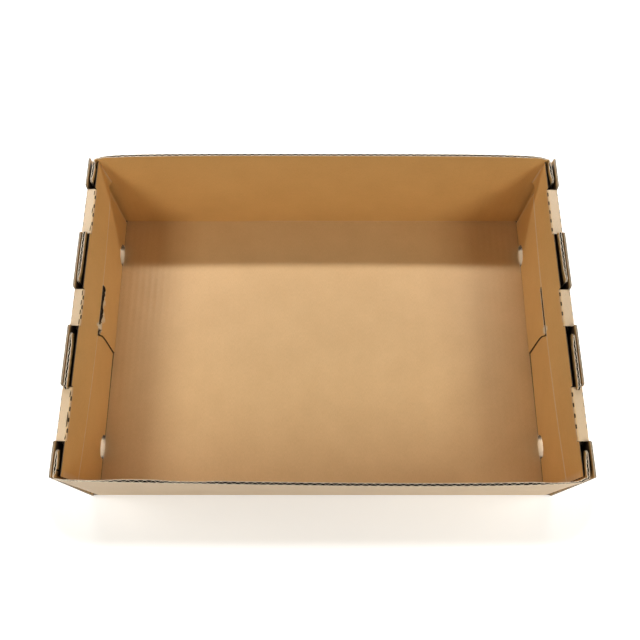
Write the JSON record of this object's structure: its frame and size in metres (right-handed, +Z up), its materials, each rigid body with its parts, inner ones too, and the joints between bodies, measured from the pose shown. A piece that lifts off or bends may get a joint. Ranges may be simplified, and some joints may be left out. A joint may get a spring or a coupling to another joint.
{
  "type": "cardboard tray box",
  "caption": "Shallow open tray box folded from one sheet of brown corrugated board, with roll-over ends, tabs along the end rims and arched air vents at the floor.",
  "frame": {"origin": "on the table under the middle of the tray", "axes": "+X along the length, +Y to the back long wall, +Z up"},
  "size_m": [0.592, 0.4158, 0.166],
  "materials": {
    "kraft_board": "matt uncoated kraft liner, plain, lightly worn"
  },
  "bodies": {
    "root": {"tray": "kraft_board"}
  },
  "joints": []
}
